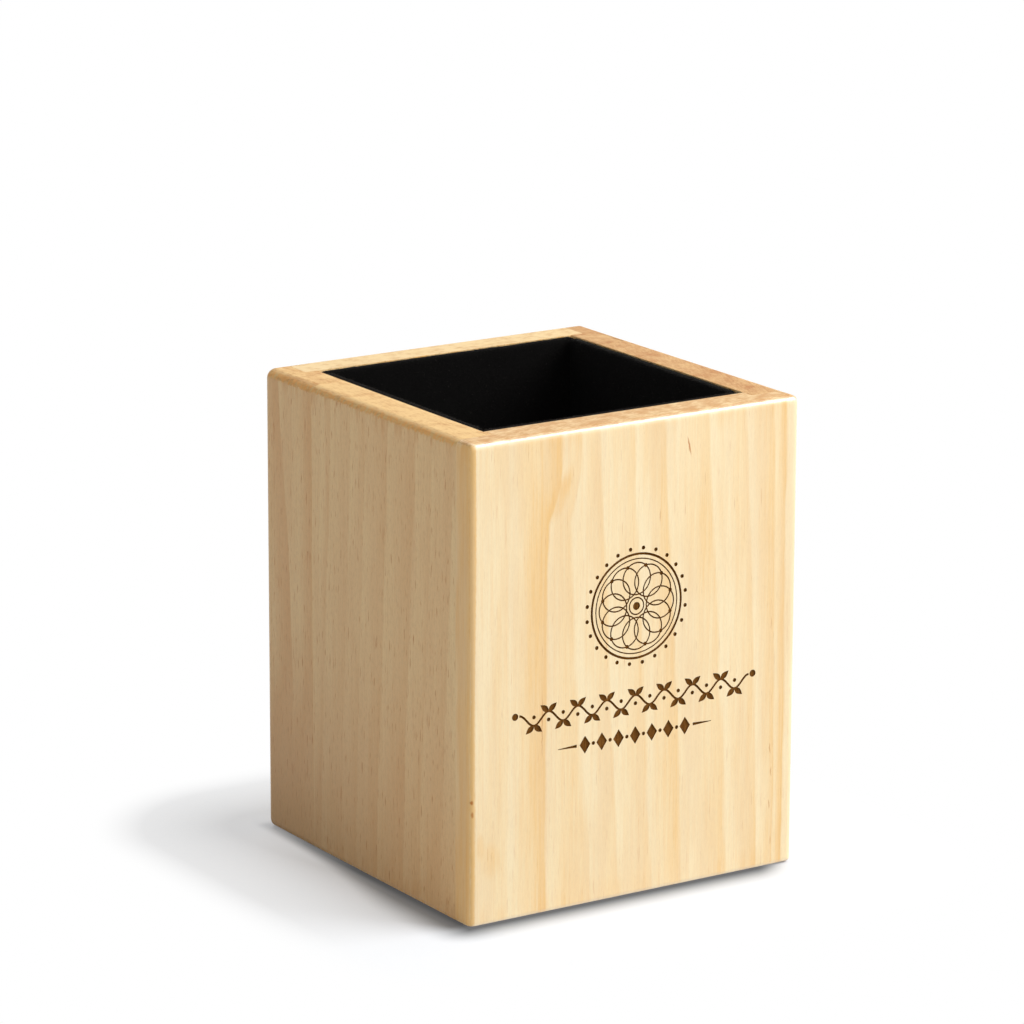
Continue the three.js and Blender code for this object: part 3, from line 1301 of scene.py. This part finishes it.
# How far the rings are pushed aside around a place of the front board, given in the same way
FRONT_BENDS = (((21.5, 2.0), (7.0, 15.0), 0.0, 3.5),)

# Darker places on the front of the right rim: x and y from the box's middle, radius and strength
RIM_KNOTS = (((35.7, -28.5), 1.7, 1.0), ((36.5, -14.0), 4.0, 0.5))


def on_face(rings):
    """Rings placed from a face's edge, as places from the box's middle in the tilted grain."""
    half = OUTER.x / MM
    return [(at - half - half * GRAIN_TILT, *tones) for at, *tones in rings]


def woods():
    """The material of each board, by the board's name."""
    # The side, back and bottom boards take the side tone, partly painted shade
    dull = {"tint": SIDE_TONE_AND_SHADE, "gloss": SIDE_GLOSS, "lacquer": SIDE_LACQUER}
    left = {
        **dull, "dark": SIDE_DARK_WOOD, "end_tint": SIDE_END_TINT, "light": 0.3, "rosy": 0.55,
        "flecks": 0.75, "fleck_start": 0.62, "fleck_scale": (2.8, 2.8, 0.25),
        "grit": 0.17, "grit_scale": (1.8, 1.8, 0.8), "shoulder": 0.7,
    }
    right = {**dull, "end_tint": RIGHT_END_TINT, "light": 0.2, "end_tone": 0.45, "shoulder": 0.5}
    grains = {
        "front_board": WoodGrain(
            "front_wood", (1, GRAIN_TILT, 0), on_face(FRONT_RINGS), 0.055, 1.0,
            hold=(-22, -15, 22, 36), light=0.1, bends=FRONT_BENDS, stains_and_shade=FRONT_STAINS_AND_SHADE,
            nicks=FRONT_NICKS, end_tone=0.68, end_from=(0.45, 0.75), polished=1.0,
            oil=0.2, flank_shade_tint=FLANK_SHADE_TINT,
        ),
        "back_board": WoodGrain(
            "back_wood", (1, -0.15, 0), regular_rings(7, 2, 12), 0.04, 2.0, **dull
        ),
        # The left staves carry painted shade, darker towards the bottom where the left face gets less
        # light
        "left_front_stave": WoodGrain(
            "left_front_wood", (GRAIN_TILT, -1, 0), on_face(FRONT_STAVE_RINGS), -0.05, 3.0,
            painted_low_shade=0.45, **left,
        ),
        "left_rear_stave": WoodGrain(
            "left_rear_wood", (GRAIN_TILT, -1, 0), on_face(REAR_STAVE_RINGS), 0.1, 4.0, turn=63.0,
            hold=(-60, -55, -35, -27), painted_low_shade=1.0, end_tone=0.35, **left,
        ),
        "right_front_stave": WoodGrain(
            "right_front_wood", (0.3, 1, 0), regular_rings(8, 4, 15), 0.03, 5.0, knots=RIM_KNOTS,
            **right,
        ),
        "right_rear_stave": WoodGrain(
            "right_rear_wood", (-0.3, 1, 0), regular_rings(9, 1, 16), -0.03, 6.0, **right
        ),
        "bottom_board": WoodGrain(
            "bottom_wood", (0.2, 1, 0), regular_rings(7, 1, 17), 0.0, 7.0, tint=SIDE_TONE_AND_SHADE
        ),
    }
    return {name: wood(grain) for name, grain in grains.items()}


def build():
    camera()
    world()
    floor()
    lamps()
    boards = wooden_box(woods())
    shapes = medallion(Vector((0, BOTTOM)) + Vector((0, MEDALLION_HEIGHT)))
    shapes += vine(BOTTOM + VINE_HEIGHT)
    shapes += lozenge_row(BOTTOM + ROW_HEIGHT)
    engrave(boards["front_board"], shapes, burnt_wood())
    for obj in boards.values():
        smooth(obj)
    black = felt("lining_felt", (0.0006, 0.0005, 0.0005), (0.003, 0.0026, 0.0023), 0.0)
    hair = felt("lining_nap", (0.015, 0.013, 0.0115), (0.08, 0.07, 0.06), 0.05)
    lining(black, hair)
    foot(felt("foot_felt", (0.004, 0.004, 0.004), (0.02, 0.019, 0.018), 0.05))


bpy.context.scene.view_settings.view_transform = "Standard"
build()
